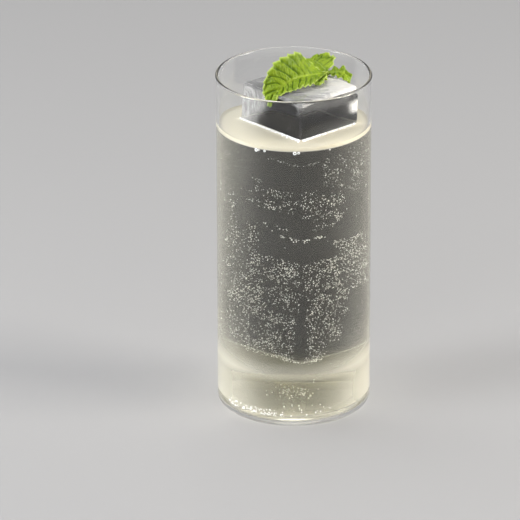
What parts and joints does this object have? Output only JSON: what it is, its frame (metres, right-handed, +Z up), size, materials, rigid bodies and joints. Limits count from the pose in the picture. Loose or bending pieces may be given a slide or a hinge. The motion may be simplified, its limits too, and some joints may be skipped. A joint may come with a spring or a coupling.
{
  "type": "mojito cocktail",
  "caption": "Tall straight glass of pale, lightly cloudy sparkling drink with one long clear ice block standing out of it and a mint sprig tip lying on the ice.",
  "frame": {"origin": "centre of the underside of the glass", "axes": "+Z up along the axis of the glass; +Y away from the side that the drink is seen from; +X to the right"},
  "size_m": [0.0624, 0.0624, 0.1493],
  "materials": {
    "glass": "clear polished soda-lime glass with a fire-polished rim",
    "drink": "pale, lightly cloudy sparkling liquid with fine bubbles",
    "ice": "clear cut ice, frosted and cracked in places",
    "mint": "fresh mint leaf, veined and softly shining"
  },
  "bodies": {
    "root": {"glass": "glass", "drink": "drink", "ice_block": "ice", "mint_sprig": "mint"}
  },
  "joints": []
}
